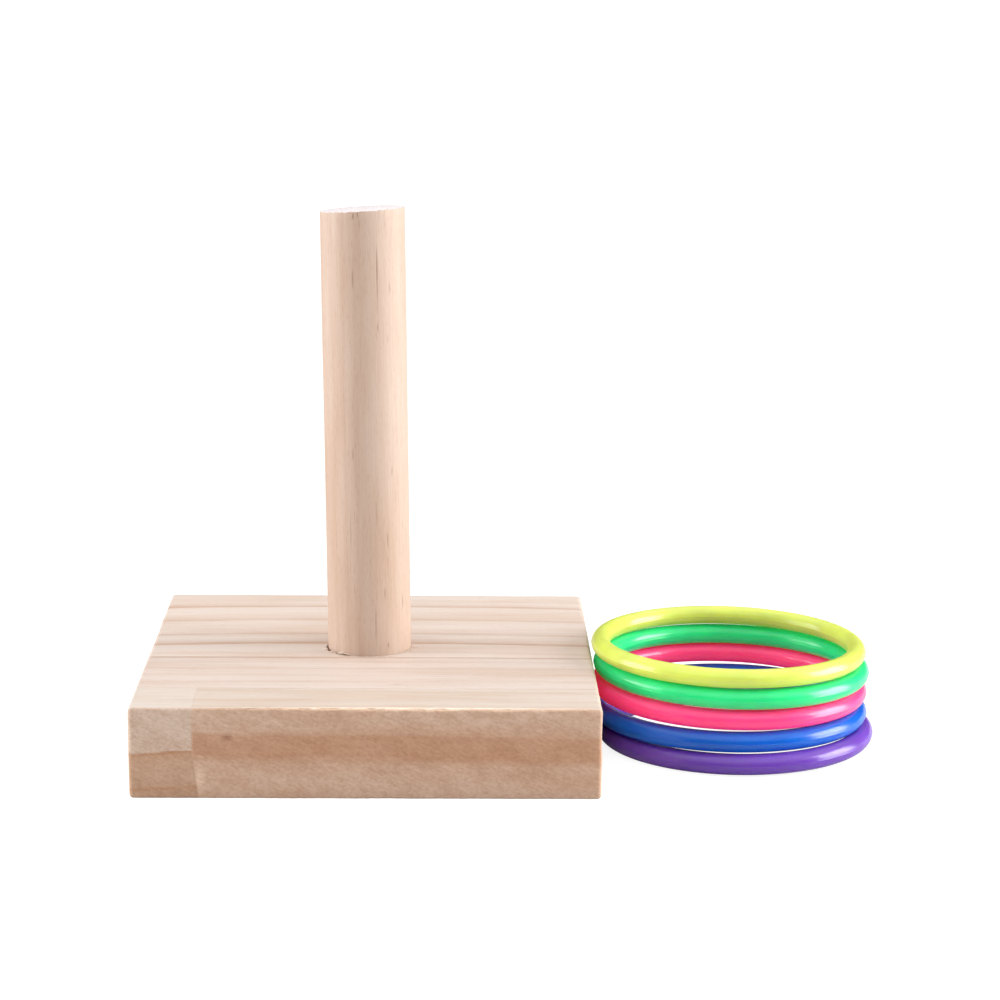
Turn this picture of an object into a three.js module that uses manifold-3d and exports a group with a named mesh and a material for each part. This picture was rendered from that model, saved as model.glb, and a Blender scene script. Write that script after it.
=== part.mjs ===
// Ring toss set: a square block glued up from pine staves, a round wooden peg
// pushed into a blind hole in the block, and a pile of five plastic rings.
// Millimetres, +Z up, +Y to the back. The origin is the centre of the block's underside.

import * as THREE from 'three';
import Module from 'manifold-3d';
import { mergeVertices } from 'three/addons/utils/BufferGeometryUtils.js';

// Block
const BLOCK_WIDTH = 100;
const BLOCK_DEPTH = 100;
const BLOCK_THICKNESS = 19.7;
const REAR_STAVE_DEPTH = 58;
const MIDDLE_STAVE_DEPTH = 26;
const FRONT_STAVE_DEPTH = BLOCK_DEPTH - REAR_STAVE_DEPTH - MIDDLE_STAVE_DEPTH;
const STAVE_EDGE_EASE = 0.4;

// The front stave is two lengths end to end. Their joint is square in the upper
// half and slants in the lower half.
const SHORT_LENGTH_AT_TOP = 13.5;
const SHORT_LENGTH_AT_UNDERSIDE = 14.8;

// Glue lines are thin, so neighbouring pieces stand this far apart.
const GLUE_LINE = 0.02;

// Peg, in a blind hole that was drilled a little out of square
const PEG_RADIUS = 9.45;
const PEG_HEIGHT = 99.6;
const PEG_IN_HOLE = 14.6;
const PEG_CENTRE = new THREE.Vector3(-0.4, 1.8, BLOCK_THICKNESS);
const PEG_LEAN_DEGREES = 0.95;
const PEG_EDGE_EASE = 0.25;
const HOLE_DEPTH = 15;
const HOLE_CLEARANCE = 0.3;
const HOLE_OVERRUN = 4;

// Rings, lowest first. gapBelow is what a ring's slight warp holds open under it.
const RING_RADIUS = 28.9;
const RING_TUBE_RADIUS = 2.26;
const RINGS = [
  { name: 'ring_purple', colour: 0x6c42a4, centre: [82.3, -3.9], gapBelow: 0 },
  { name: 'ring_blue', colour: 0x246bcd, centre: [81.5, -2.9], gapBelow: 0.5 },
  { name: 'ring_pink', colour: 0xfa5e9d, centre: [81.5, -2.5], gapBelow: 0.45 },
  { name: 'ring_green', colour: 0x4be390, centre: [81.7, -2.8], gapBelow: 0.1 },
  { name: 'ring_yellow', colour: 0xdeec6e, centre: [81.5, -3.0], gapBelow: 0.15 },
];

// Fineness of the round shapes
const PEG_SIDES = 64;
const RING_SIDES = 56;
const TUBE_SIDES = 16;

const wasm = await Module();
wasm.setup();

/** A three.js geometry as a manifold solid, for joining and cutting. */
function toSolid(geometry) {
  const bare = geometry.clone();
  bare.deleteAttribute('normal');
  bare.deleteAttribute('uv');
  const merged = mergeVertices(bare, 1e-4);
  const vertProperties = new Float32Array(merged.attributes.position.array);
  const triVerts = new Uint32Array(merged.index.array);
  return new wasm.Manifold(new wasm.Mesh({ numProp: 3, vertProperties, triVerts }));
}

/** A manifold solid back as a three.js geometry. */
function toGeometry(solid) {
  const mesh = solid.getMesh();
  const geometry = new THREE.BufferGeometry();
  geometry.setAttribute('position', new THREE.BufferAttribute(mesh.vertProperties, 3));
  geometry.setIndex(new THREE.BufferAttribute(mesh.triVerts, 1));
  geometry.computeVertexNormals();
  return geometry;
}

/** Sanded, unpainted softwood or hardwood. */
function wood(colour) {
  return new THREE.MeshStandardMaterial({ color: colour, roughness: 0.62, metalness: 0 });
}

/** Smooth moulded plastic. */
function plastic(colour) {
  return new THREE.MeshStandardMaterial({ color: colour, roughness: 0.25, metalness: 0 });
}

/** A prism with eased edges: a plan outline of [x, y] corners, raised from z = 0 to thickness. */
function easedPrism(corners, thickness) {
  const inset = new THREE.Shape(corners.map(([x, y]) => new THREE.Vector2(x, y)));
  const geometry = new THREE.ExtrudeGeometry(inset, {
    depth: thickness - 2 * STAVE_EDGE_EASE,
    bevelEnabled: true,
    bevelThickness: STAVE_EDGE_EASE,
    bevelSize: STAVE_EDGE_EASE,
    bevelOffset: -STAVE_EDGE_EASE,
    bevelSegments: 1,
    steps: 1,
  });
  geometry.translate(0, 0, STAVE_EDGE_EASE);
  return geometry;
}

/** Corners of an upright rectangle in plan. */
function rectangle(left, right, near, far) {
  return [[left, near], [right, near], [right, far], [left, far]];
}

/** Turn anything standing upright at the peg's centre to the peg's lean. */
function leanWithPeg(geometry) {
  geometry.rotateY(THREE.MathUtils.degToRad(-PEG_LEAN_DEGREES));
  geometry.translate(PEG_CENTRE.x, PEG_CENTRE.y, PEG_CENTRE.z);
  return geometry;
}

/** The blind hole for the peg, open past the block's top. */
function pegHole() {
  const radius = PEG_RADIUS + HOLE_CLEARANCE;
  const length = HOLE_DEPTH + HOLE_OVERRUN;
  const hole = new THREE.CylinderGeometry(radius, radius, length, PEG_SIDES);
  hole.rotateX(Math.PI / 2);
  hole.translate(0, 0, length / 2 - HOLE_DEPTH);
  return leanWithPeg(hole);
}

/** A straight stave across the whole block, from near to far in y, with the peg hole cut from it. */
function makeStave(name, near, far) {
  const half = BLOCK_WIDTH / 2;
  const blank = easedPrism(rectangle(-half, half, near, far), BLOCK_THICKNESS);
  const drilled = toSolid(blank).subtract(toSolid(pegHole()));
  const stave = new THREE.Mesh(toGeometry(drilled), wood(0xe8d3bd));
  stave.name = name;
  return stave;
}

/**
 * One length of the front stave, drawn on the front face as [x, z] and extruded
 * to the back. Its end joint follows the square and slanting halves of the cut.
 */
function makeFrontLength(name, outerX, jointSign, colour) {
  const jointTop = -BLOCK_WIDTH / 2 + SHORT_LENGTH_AT_TOP + jointSign * GLUE_LINE / 2;
  const jointFoot = -BLOCK_WIDTH / 2 + SHORT_LENGTH_AT_UNDERSIDE + jointSign * GLUE_LINE / 2;
  const outline = new THREE.Shape([
    new THREE.Vector2(outerX, 0),
    new THREE.Vector2(outerX, BLOCK_THICKNESS),
    new THREE.Vector2(jointTop, BLOCK_THICKNESS),
    new THREE.Vector2(jointTop, BLOCK_THICKNESS / 2),
    new THREE.Vector2(jointFoot, 0),
  ]);
  const depth = FRONT_STAVE_DEPTH - GLUE_LINE;
  const geometry = new THREE.ExtrudeGeometry(outline, { depth, bevelEnabled: false, steps: 1 });
  geometry.rotateX(Math.PI / 2);
  geometry.translate(0, -BLOCK_DEPTH / 2 + depth, 0);
  const mesh = new THREE.Mesh(geometry, wood(colour));
  mesh.name = name;
  return mesh;
}

/** The peg: a dowel with lightly eased ends, square to its own axis. */
function makePeg() {
  const foot = -PEG_IN_HOLE;
  const profile = [
    new THREE.Vector2(0, foot),
    new THREE.Vector2(PEG_RADIUS - PEG_EDGE_EASE, foot),
    new THREE.Vector2(PEG_RADIUS, foot + PEG_EDGE_EASE),
    new THREE.Vector2(PEG_RADIUS, PEG_HEIGHT - PEG_EDGE_EASE),
    new THREE.Vector2(PEG_RADIUS - PEG_EDGE_EASE, PEG_HEIGHT),
    new THREE.Vector2(0, PEG_HEIGHT),
  ];
  const geometry = new THREE.LatheGeometry(profile, PEG_SIDES);
  geometry.rotateX(Math.PI / 2);
  const peg = new THREE.Mesh(leanWithPeg(geometry), wood(0xe6c9b2));
  peg.name = 'peg';
  return peg;
}

/** One ring lying flat, its tube's centre at the given height. */
function makeRing(ring, height) {
  const geometry = new THREE.TorusGeometry(RING_RADIUS, RING_TUBE_RADIUS, TUBE_SIDES, RING_SIDES);
  const mesh = new THREE.Mesh(geometry, plastic(ring.colour));
  mesh.name = ring.name;
  mesh.position.set(ring.centre[0], ring.centre[1], height);
  return mesh;
}

/** The four staves that make up the block. */
function makeBlock() {
  const back = BLOCK_DEPTH / 2;
  const rearJoint = back - REAR_STAVE_DEPTH;
  const frontJoint = rearJoint - MIDDLE_STAVE_DEPTH;
  const half = BLOCK_WIDTH / 2;
  const block = new THREE.Group();
  block.add(makeStave('rear_stave', rearJoint + GLUE_LINE / 2, back));
  block.add(makeStave('middle_stave', frontJoint + GLUE_LINE / 2, rearJoint - GLUE_LINE / 2));
  block.add(makeFrontLength('front_stave_long', half, 1, 0xd8bb9f));
  block.add(makeFrontLength('front_stave_short', -half, -1, 0xcfb39a));
  return block;
}

/** The five rings, piled on the surface beside the block. */
function makeRingPile() {
  const pile = new THREE.Group();
  let underside = 0;
  for (const ring of RINGS) {
    underside += ring.gapBelow;
    pile.add(makeRing(ring, underside + RING_TUBE_RADIUS));
    underside += 2 * RING_TUBE_RADIUS;
  }
  return pile;
}

const ringTossSet = new THREE.Group();
ringTossSet.add(makeBlock(), makePeg(), makeRingPile());

export default ringTossSet;
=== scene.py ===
"""Looks of a tabletop ring toss set.

A square block glued up from pine staves carries a round wooden peg, and a pile of five moulded
plastic rings lies against its right side. Metres, +Z up, +Y to the back, origin at the centre of
the block's underside. Sizes in the dataclasses below are in millimetres unless they say otherwise.
"""

import logging
import math
import random
from dataclasses import dataclass, field
from enum import Enum

import bpy
from mathutils import Matrix, Vector, noise


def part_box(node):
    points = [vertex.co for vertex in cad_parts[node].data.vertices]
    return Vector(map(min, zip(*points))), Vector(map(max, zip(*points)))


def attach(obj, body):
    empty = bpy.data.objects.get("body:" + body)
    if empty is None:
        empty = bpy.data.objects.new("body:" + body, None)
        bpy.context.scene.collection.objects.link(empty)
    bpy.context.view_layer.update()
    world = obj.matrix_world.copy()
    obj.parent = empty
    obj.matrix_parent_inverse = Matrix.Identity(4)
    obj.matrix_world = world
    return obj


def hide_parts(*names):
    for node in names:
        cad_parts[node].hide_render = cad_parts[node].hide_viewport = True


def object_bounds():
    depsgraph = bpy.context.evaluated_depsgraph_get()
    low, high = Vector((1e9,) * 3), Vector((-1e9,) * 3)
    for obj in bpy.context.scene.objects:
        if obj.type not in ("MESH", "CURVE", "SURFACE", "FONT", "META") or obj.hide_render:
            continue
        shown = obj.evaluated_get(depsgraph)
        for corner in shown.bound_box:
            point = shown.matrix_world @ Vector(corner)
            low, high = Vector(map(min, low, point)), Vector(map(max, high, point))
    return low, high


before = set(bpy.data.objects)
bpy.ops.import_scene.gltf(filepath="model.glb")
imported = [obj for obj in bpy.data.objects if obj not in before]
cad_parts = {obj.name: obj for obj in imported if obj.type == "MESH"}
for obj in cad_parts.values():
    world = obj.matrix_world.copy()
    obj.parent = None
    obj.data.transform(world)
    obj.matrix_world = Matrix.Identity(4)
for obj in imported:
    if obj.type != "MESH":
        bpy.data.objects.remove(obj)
CAD_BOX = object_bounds()

MM = 0.001
log = logging.getLogger("ring_toss_set")

Source = bpy.types.Node | bpy.types.NodeSocket
Colour = tuple[float, float, float, float]


def linear(colour: str) -> Colour:
    """Turn an sRGB colour to linear.

    Args:
        colour: six hex digits, such as "e8d3bd".

    Returns:
        Linear red, green, blue, and an alpha of one.
    """
    channels = [int(colour[i : i + 2], 16) / 255 for i in (0, 2, 4)]
    knee, foot = 0.04045, 12.92
    bright = [c / foot if c <= knee else ((c + 0.055) / 1.055) ** 2.4 for c in channels]
    return (*bright, 1.0)


def blend_colours(first: str, second: str, share: float) -> Colour:
    """Mix two sRGB hex colours in linear light.

    Args:
        first: the colour at a share of zero.
        second: the colour at a share of one.
        share: how much of the second colour there is.

    Returns:
        The linear colour between them.
    """
    a, b = linear(first), linear(second)
    return tuple(p + (q - p) * share for p, q in zip(a, b))


def ripple(*place: float) -> float:
    """Return smooth noise between about -1 and 1 at up to three coordinates."""
    padded = (*place, 0.0, 0.0, 0.0)[:3]
    return noise.noise(Vector(padded))


def smooth_step(value: float, low: float, high: float) -> float:
    """Ease from zero at low to one at high."""
    t = min(1.0, max(0.0, (value - low) / (high - low)))
    return t * t * (3 - 2 * t)


def heading(degrees: float) -> Vector:
    """Return the level way that lies at an angle from +X."""
    turn = math.radians(degrees)
    return Vector((math.cos(turn), math.sin(turn), 0))


def corners(node: str) -> tuple[Vector, Vector]:
    """Return the lowest and highest corners of a CAD node in millimetres."""
    low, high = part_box(node)
    return low / MM, high / MM


# Materials


EASED = {"interpolation_type": "SMOOTHSTEP"}


class Shader:
    """The node tree of a material or of the world, with one way to add a node."""

    def __init__(self, owner: bpy.types.Material | bpy.types.World) -> None:
        """Start with the owner's tree empty.

        Args:
            owner: the material or world that the nodes belong to.
        """
        owner.use_nodes = True
        self.owner = owner
        self.tree = owner.node_tree
        self.tree.nodes.clear()

    def add(self, kind: str, inputs: dict | None = None, **settings: str) -> bpy.types.Node:
        """Add a node with its settings and links.

        Args:
            kind: the node's type, without the "ShaderNode" that they all start with.
            inputs: input name or number to a value, or to the node or output socket to link from.
            settings: attributes to set on the node.

        Returns:
            The new node.
        """
        node = self.tree.nodes.new("ShaderNode" + kind)
        for key, value in settings.items():
            setattr(node, key, value)
        for key, value in (inputs or {}).items():
            if isinstance(value, bpy.types.Node):
                value = value.outputs[0]
            if isinstance(value, bpy.types.NodeSocket):
                self.tree.links.new(value, node.inputs[key])
            else:
                node.inputs[key].default_value = value
        return node

    def finish(self, surface: Source) -> bpy.types.Material:
        """Join the surface to the material's output and return the material."""
        self.add("OutputMaterial", {"Surface": surface})
        return self.owner


@dataclass(frozen=True)
class GrowthLine:
    """A dark latewood line where a growth ring meets the top of a stave, or a peg's side.

    Attributes:
        at: where the line's dark edge is, as a distance from the pith line.
        fade: how far the line darkens gradually before that edge.
        strength: share of the latewood colour at its darkest.
        recover: how far it takes to turn pale again after that edge.
        shoulder: share of that strength reached early in the fade.
        left: share of the latewood colour that stays after it.
        before: share of the latewood colour where the fade begins.
    """

    at: float
    fade: float
    strength: float
    recover: float = 0.35
    shoulder: float = 0.35
    left: float = 0.06
    before: float = 0.0


class Grain(Enum):
    """Which way the wood's fibres run in the piece's own axes."""

    ALONG_X = (1, 0, 0)
    ALONG_Z = (0, 0, 1)

    def stretch(self, length: float, width: float) -> tuple[float, float, float]:
        """Scale a noise so that its cells are length along the fibres and width across them."""
        return tuple(1 / (length if along else width) for along in self.value)

    def across(self) -> tuple[int, int, int]:
        """Return ones on the two axes across the fibres."""
        return tuple(1 - along for along in self.value)


@dataclass(frozen=True)
class Pattern:
    """A noise in the wood.

    Attributes:
        length: length of its cells along the fibres.
        width: their width across the fibres.
        detail: octaves of finer noise.
        shift: moves the noise, so that two of one size differ.
        turn: tilt of the cells about Y, in degrees.
    """

    length: float
    width: float
    detail: float = 2.0
    shift: float = 0.0
    turn: float = 0.0


@dataclass(frozen=True)
class SawnFace:
    """A face left from the saw: its place along Y, and the sRGB hex tint that makes it duller."""

    edge: float
    tint: str


@dataclass(frozen=True)
class Patch:
    """A small stain, resin streak, pale scar or painted highlight in the wood.

    Attributes:
        at: its middle.
        reach: half its length on each axis.
        strength: share of its tint in the middle.
        tint: sRGB hex colour that multiplies the wood's own, or that covers it where it is pale.
        covers: whether the tint covers the wood like filler instead of darkening it.
    """

    at: tuple[float, float, float]
    reach: tuple[float, float, float]
    strength: float
    tint: str = "8a5f48"
    covers: bool = False


@dataclass(frozen=True)
class PineFinish:
    """Softwood, sanded and left bare.

    Bare pine is matt and pale, with growth rings of soft cream that darken to thin tan lines, a
    fine silky fibre along its length, and short brown resin streaks. Nothing seals it, so it has
    only the weak sheen of wood at an index of about 1.5 and a roughness near 0.6.

    Attributes:
        name: the material's name.
        grain: which way the fibres run.
        pith: the tree's centre line, across the fibres.
        lines: the latewood lines, by their distance from the pith line.
        early: sRGB hex colour of the pale spring wood.
        late: sRGB hex colour of the dark summer wood.
        bow: how far the lines bend over half the piece's length.
        drift: how far the lines shift over half the piece's length.
        half_length: half the piece's length along the grain.
        end_colour: sRGB hex colour that covers the end grain; on the peg it is near white, a
            painted highlight of the cut end lit from above.
        end_cover: how much of that colour there is.
        sawn: the face that the saw left, or None.
        glue: place along Y and strength of a glue line, or None.
        patches: stains, scars and painted highlights.
        wander: how far the lines stray from true.
        fibre_strength: how much the fibre bundles show.
        dash_strength: how much the short pores along the grain show.
        fleck_strength: how much the resin flecks show.
        roughness: the surface's roughness.
    """

    name: str
    grain: Grain
    pith: tuple[float, float, float]
    lines: tuple[GrowthLine, ...]
    early: str
    late: str
    bow: float = 0.0
    drift: float = 0.0
    half_length: float = 50.0
    end_colour: str = "dcc3a8"
    end_cover: float = 0.4
    sawn: SawnFace | None = None
    glue: tuple[float, float] | None = None
    patches: tuple[Patch, ...] = ()
    wander: float = 0.45
    fibre_strength: float = 0.18
    dash_strength: float = 0.16
    fleck_strength: float = 0.25
    roughness: float = 0.6

    def build(self) -> bpy.types.Material:
        """Make the material."""
        return PineShader(self).build()


class PineShader(Shader):
    """The nodes of one pine finish, from patterns of real sizes.

    Single fibres are finer than shows, so the fibre is drawn at the width of a small bundle. The
    methods work on the colour and the relief that the finish has so far.
    """

    CLOUD = Pattern(45.0, 7.0, shift=31.0)
    FIBRE = Pattern(16.0, 0.32, detail=3.0)
    DASH = Pattern(1.8, 0.22, detail=1.0, shift=43.0)
    FLECK = Pattern(5.0, 0.34, detail=1.0, shift=71.0)
    FRAYED_EDGE = Pattern(5.0, 0.34, shift=5.0)
    WANDER = Pattern(65.0, 30.0, detail=1.0, shift=11.0)
    FRAY = Pattern(11.0, 0.8, detail=1.0, shift=11.0)
    WOOL = Pattern(2.4, 0.5, turn=-24.0)
    FELT = Pattern(0.7, 0.55, detail=3.0, shift=19.0)
    MOTTLE = Pattern(7.0, 3.0, shift=7.0, turn=-24.0)
    BROKEN_GLUE = Pattern(12.0, 8.0, detail=3.0, shift=53.0)
    FRAY_SIZE = 0.3
    FULL_SWING = 4.0
    RAMP_MARGIN = 10.0
    PORE_WIDTH = 0.45
    GLUE_WIDTH = (0.28, 0.05)
    END_FACING = (0.6, 0.93)
    SAWN_DEPTH = (0.25, 0.6)
    BUMP_DEPTH = 0.05

    def __init__(self, wood: PineFinish) -> None:
        """Start the wood's material with its growth rings.

        Args:
            wood: the finish to make.
        """
        super().__init__(bpy.data.materials.new(wood.name))
        self.wood = wood
        self.coordinates = self.add("TexCoord").outputs
        metres = self.coordinates["Object"]
        self.place = self.add("VectorMath", {0: metres, "Scale": 1 / MM}, operation="SCALE")
        self.along_y = self.add("SeparateXYZ", {0: self.place}).outputs["Y"]
        self.colour = self.ring_colour(self.ring_distance())
        self.relief = self.noise(self.FIBRE)

    def noise(self, pattern: Pattern) -> Source:
        """Add a pattern's noise.

        Args:
            pattern: its sizes.

        Returns:
            The noise, about 0.5 on average.
        """
        turned = self.add("Mapping", {"Vector": self.place, "Location": (pattern.shift,) * 3,
                                      "Rotation": (0, math.radians(pattern.turn), 0)})
        scaled = self.add("Mapping", {
            "Vector": turned, "Scale": self.wood.grain.stretch(pattern.length, pattern.width)})
        return self.add("TexNoise", {
            "Vector": scaled, "Scale": 1.0, "Detail": pattern.detail, "Roughness": 0.55})

    def stain(self, value: Source, span: tuple[float, float], strength: float, tint: str,
              within: Source | None = None, covers: bool = False) -> None:
        """Tint the wood where a value is high.

        Args:
            value: what decides where the tint is.
            span: the values where the tint starts and where it is full.
            strength: share of the tint where it is full.
            tint: sRGB hex colour that multiplies the wood's own, or that covers it.
            within: mask that the tint stays inside, or None for everywhere.
            covers: whether the tint covers the wood instead of multiplying it.
        """
        share = self.add("MapRange", {
            "Value": value, "From Min": span[0], "From Max": span[1], "To Max": strength}, **EASED)
        if within is not None:
            share = self.add("Math", {0: share, 1: within}, operation="MULTIPLY")
        made = self.add("Mix", {0: share, 6: self.colour, 7: linear(tint)},
                        data_type="RGBA", blend_type="MIX" if covers else "MULTIPLY")
        self.colour = made.outputs[2]

    def ring_distance(self) -> Source:
        """Measure how far a point is from the pith line, with the wander of a real tree.

        Returns:
            The distance in millimetres.
        """
        wood = self.wood
        from_pith = self.add("VectorMath", {0: self.place, 1: wood.pith}, operation="SUBTRACT")
        flat = self.add("VectorMath", {0: from_pith, 1: wood.grain.across()}, operation="MULTIPLY")
        total = self.add("VectorMath", {0: flat}, operation="LENGTH").outputs["Value"]
        along = self.add("VectorMath", {0: self.place, 1: wood.grain.value}, operation="DOT_PRODUCT")
        share = self.add("Math", {0: along.outputs["Value"], 1: wood.half_length}, operation="DIVIDE")
        square = self.add("Math", {0: share, 1: 2.0}, operation="POWER")
        terms = [(square, wood.bow), (share, wood.drift)]
        for size, pattern in ((wood.wander, self.WANDER), (self.FRAY_SIZE, self.FRAY)):
            centred = self.add("Math", {0: self.noise(pattern), 1: 0.5}, operation="SUBTRACT")
            terms.append((centred, self.FULL_SWING * size))
        for term, size in terms:
            total = self.add("Math", {0: term, 1: size, 2: total}, operation="MULTIPLY_ADD")
        return total

    def ring_colour(self, distance: Source) -> Source:
        """Colour the growth rings: each darkens slowly to its line and then starts pale again.

        Args:
            distance: distance from the pith line.

        Returns:
            The wood's colour.
        """
        wood = self.wood
        low = wood.lines[0].at - wood.lines[0].fade - self.RAMP_MARGIN
        high = wood.lines[-1].at + self.RAMP_MARGIN
        share = self.add("MapRange", {"Value": distance, "From Min": low, "From Max": high})
        ramp = self.add("ValToRGB", {"Fac": share})
        stops = ramp.color_ramp.elements
        stops[0].color = blend_colours(wood.early, wood.late, wood.lines[0].before)
        stops[1].color = linear(wood.early)
        for line in wood.lines:
            for place, strength in ((line.at - line.fade, line.before),
                                    (line.at - 0.3 * line.fade, line.shoulder * line.strength),
                                    (line.at, line.strength), (line.at + line.recover, line.left)):
                stop = stops.new((place - low) / (high - low))
                stop.color = blend_colours(wood.early, wood.late, strength)
        return ramp

    def patch(self, patch: Patch, frayed: Source) -> None:
        """Add a small stain, streak, scar or painted highlight.

        Args:
            patch: where it is and how it looks.
            frayed: noise that roughens its edge.
        """
        from_middle = self.add("VectorMath", {0: self.place, 1: patch.at}, operation="SUBTRACT")
        shares = self.add("VectorMath", {0: from_middle, 1: patch.reach}, operation="DIVIDE")
        off = self.add("VectorMath", {0: shares}, operation="LENGTH").outputs["Value"]
        uneven = self.add("Math", {0: off, 1: frayed}, operation="ADD")
        self.stain(uneven, (1.4, 0.6), patch.strength, patch.tint, covers=patch.covers)

    def saw(self, planed: Source, near: float, far: float) -> None:
        """Make one face woolly and browner, as the saw leaves it.

        Args:
            planed: zero on the sawn face and one elsewhere.
            near: place along Y up to which the face's look is full.
            far: place along Y where it ends.
        """
        self.stain(self.along_y, (far, near), 1.0, self.wood.sawn.tint)
        sawn = self.add("Math", {0: 1.0, 1: planed}, operation="SUBTRACT")
        felt = self.noise(self.FELT)
        for texture, strength, tint in ((self.noise(self.WOOL), 0.29, "d8c4b0"), (felt, 0.30, "cdb6a2"),
                                        (self.noise(self.MOTTLE), 0.28, "dcc6b2")):
            self.stain(texture, (0.35, 0.7), strength, tint, within=sawn)
        self.relief = self.add("Mix", {0: sawn, 2: self.relief, 3: felt}, data_type="FLOAT")

    def glue(self, where: float, strength: float) -> None:
        """Draw a thin broken brown glue line.

        Args:
            where: its place along Y.
            strength: share of the brown where the line is whole.
        """
        off = self.add("Math", {0: self.along_y, 1: where}, operation="SUBTRACT")
        size = self.add("Math", {0: off}, operation="ABSOLUTE")
        worn = self.noise(self.BROKEN_GLUE)
        broken = self.add("MapRange", {
            "Value": worn, "From Min": 0.38, "From Max": 0.6, "To Min": 0.15}, **EASED)
        self.stain(size, self.GLUE_WIDTH, strength, "b08a6a", within=broken)

    def end_grain(self) -> None:
        """Cover the ends, found by the way that the surface faces, with the end colour and its pores."""
        along = self.add("VectorMath", {0: self.coordinates["Normal"], 1: self.wood.grain.value},
                         operation="DOT_PRODUCT")
        facing = self.add("Math", {0: along.outputs["Value"]}, operation="ABSOLUTE")
        low, high = self.END_FACING
        ends = self.add("MapRange", {"Value": facing, "From Min": low, "From Max": high}, **EASED)
        pores = self.add("TexNoise", {"Vector": self.place, "Scale": 1 / self.PORE_WIDTH, "Detail": 2.0})
        # On the peg the end colour is a painted highlight: near white for the cut end lit from above.
        self.stain(facing, self.END_FACING, self.wood.end_cover, self.wood.end_colour, covers=True)
        self.stain(pores, (0.45, 0.7), 0.5, "c9ad92", within=ends)

    def build(self) -> bpy.types.Material:
        """Make the material.

        Returns:
            The finished wood.
        """
        wood, fibre, planed = self.wood, self.relief, None
        if wood.sawn:
            near, far = (wood.sawn.edge + depth for depth in self.SAWN_DEPTH)
            planed = self.add("MapRange", {
                "Value": self.along_y, "From Min": near, "From Max": far}, **EASED)
        self.stain(self.noise(self.CLOUD), (0.35, 0.75), 0.5, "eedccb")
        self.stain(fibre, (0.42, 0.72), wood.fibre_strength, "d9c2ae", within=planed)
        self.stain(self.noise(self.DASH), (0.50, 0.75), wood.dash_strength, "d2b8a2", within=planed)
        self.stain(self.noise(self.FLECK), (0.68, 0.78), wood.fleck_strength, "b98e6c", within=planed)
        frayed = self.noise(self.FRAYED_EDGE)
        for patch in wood.patches:
            self.patch(patch, frayed)
        if wood.sawn:
            self.saw(planed, near, far)
        if wood.glue:
            self.glue(*wood.glue)
        self.end_grain()
        bump = self.add("Bump", {"Height": self.relief, "Strength": 0.35, "Distance": self.BUMP_DEPTH * MM})
        rough = self.add("MapRange", {
            "Value": fibre, "From Min": 0.3, "From Max": 0.7, "To Min": wood.roughness - 0.05,
            "To Max": wood.roughness + 0.08}, **EASED)
        return self.finish(self.add("BsdfPrincipled", {
            "Base Color": self.colour, "Roughness": rough, "Normal": bump}))


@dataclass(frozen=True)
class MouldedPlastic:
    """Polyethylene moulded in a polished tool.

    The skin copies the tool, so it is glossy, light goes a little way in and softens the shadow
    side, and the melt's slow flow leaves the pigment a little streaky. Daylight-fluorescent
    pigments send back more of their own hue than falls on them; here that is a constant emission,
    a painted glow that keeps even the shaded side vivid whatever light falls on it.
    Index about 1.5.

    Attributes:
        name: the material's name.
        colour: sRGB hex colour of the pigment.
        painted_neon_glow: sRGB hex colour of a constant emission, a painted glow standing in for
            the fluorescent pigment's light that lifts the shaded side.
        painted_neon_glow_strength: how much of it there is.
        shift: moves the flow marks, so that no two pieces are alike, in millimetres.
    """

    name: str
    colour: str
    painted_neon_glow: str
    painted_neon_glow_strength: float
    shift: float

    ROUGHNESS = 0.23
    SCATTERED = 0.9
    SCATTER_DEPTH = 3.0
    FLOW_WIDTH = 9.0
    FLOW_STRENGTH = 0.5
    FLOW_TINT = "dcdcdc"

    def build(self) -> bpy.types.Material:
        """Make the material.

        Returns:
            The finished plastic.
        """
        shader = Shader(bpy.data.materials.new(self.name))
        metres = shader.add("TexCoord").outputs["Object"]
        moved = shader.add("VectorMath", {0: metres, 1: (self.shift * MM,) * 3}, operation="ADD")
        flow = shader.add("TexNoise", {"Vector": moved, "Scale": 1 / (self.FLOW_WIDTH * MM), "Detail": 2.0})
        marks = shader.add("MapRange", {
            "Value": flow, "From Min": 0.3, "From Max": 0.8, "To Max": self.FLOW_STRENGTH}, **EASED)
        pigment = shader.add("Mix", {0: marks, 6: linear(self.colour), 7: linear(self.FLOW_TINT)},
                             data_type="RGBA", blend_type="MULTIPLY")
        # Emission is a painted glow in the pigment's hue. It is constant whatever light falls, stands in
        # for fluorescence and lifts the shaded side.
        return shader.finish(shader.add("BsdfPrincipled", {
            "Base Color": pigment.outputs[2], "Roughness": self.ROUGHNESS, "IOR": 1.5,
            "Subsurface Weight": self.SCATTERED, "Subsurface Radius": linear(self.colour)[:3],
            "Subsurface Scale": self.SCATTER_DEPTH * MM,
            "Emission Color": linear(self.painted_neon_glow), "Emission Strength": self.painted_neon_glow_strength}))


# Mesh helpers


CREASE = 35.0


def add_object(name: str, data: bpy.types.ID) -> bpy.types.Object:
    """Put a mesh, a light or a camera in the scene.

    Args:
        name: the object's name.
        data: what it shows.

    Returns:
        The new object.
    """
    made = bpy.data.objects.new(name, data)
    bpy.context.scene.collection.objects.link(made)
    return made


def make_piece(name: str, points: list, faces: list, material: bpy.types.Material,
               crease: float = CREASE) -> bpy.types.Object:
    """Make a mesh object with smooth shading and sharp creases.

    Args:
        name: the piece's name.
        points: its corners in metres.
        faces: lists of corner numbers.
        material: what it is made of.
        crease: edges that turn by more degrees than this stay sharp.

    Returns:
        The new object, in the scene.
    """
    mesh = bpy.data.meshes.new(name)
    mesh.from_pydata([tuple(p) for p in points], [], faces)
    mesh.validate()
    mesh.materials.append(material)
    mesh.shade_smooth()
    mesh.set_sharp_from_angle(angle=math.radians(crease))
    return add_object(name, mesh)


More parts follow.
